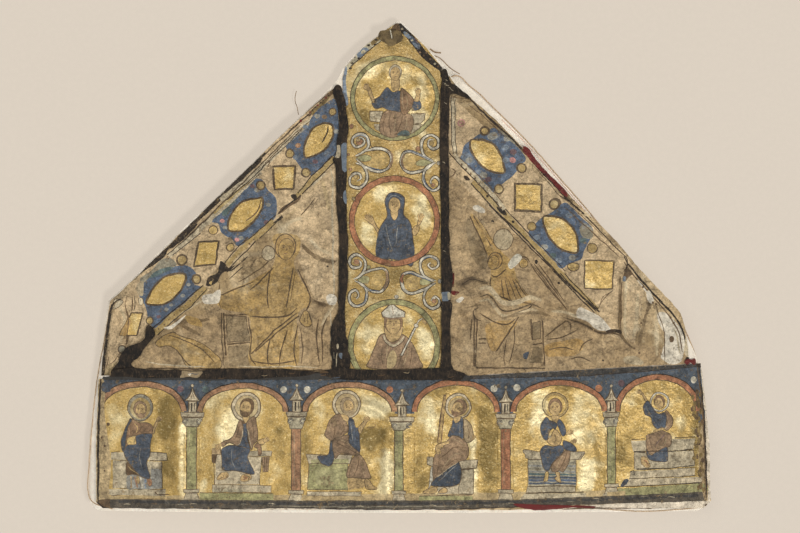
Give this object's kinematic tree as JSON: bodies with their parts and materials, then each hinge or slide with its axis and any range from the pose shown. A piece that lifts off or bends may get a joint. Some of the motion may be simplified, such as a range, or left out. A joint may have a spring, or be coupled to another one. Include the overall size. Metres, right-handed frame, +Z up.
{
  "type": "bishop mitre",
  "caption": "Pointed two-horned bishop's mitre of painted parchment over linen, lying flat on its back, with head band, centre strip, ribbons and a silk gusset.",
  "frame": {"origin": "centre of the underside of the mitre's box, on the surface that it lies on", "axes": "+X to the right across the front, +Y from the mouth towards the tip, +Z up, out of the front face"},
  "size_m": [0.3125, 0.2451, 0.0335],
  "materials": {
    "linen": "matt unbleached linen, stiff with age",
    "parchment": "bare worn parchment, matt, creased and stained",
    "painted_parchment": "parchment with worn gold leaf and matt pigments",
    "ribbon": "dark brown woven silk ribbon, frayed",
    "silk": "red silk, slightly glossy, worn",
    "tab": "brown coarse cloth, worn"
  },
  "bodies": {
    "root": {"back_parchment": "parchment", "back_linen": "linen", "front_linen": "linen", "silk_gusset": "silk", "head_band": "painted_parchment", "centre_strip": "painted_parchment", "left_panel": "parchment", "right_panel": "parchment", "ribbon_left": "ribbon", "ribbon_right": "ribbon", "ribbon_cross": "ribbon", "ribbon_corner": "ribbon", "tip_tab": "tab"}
  },
  "joints": []
}
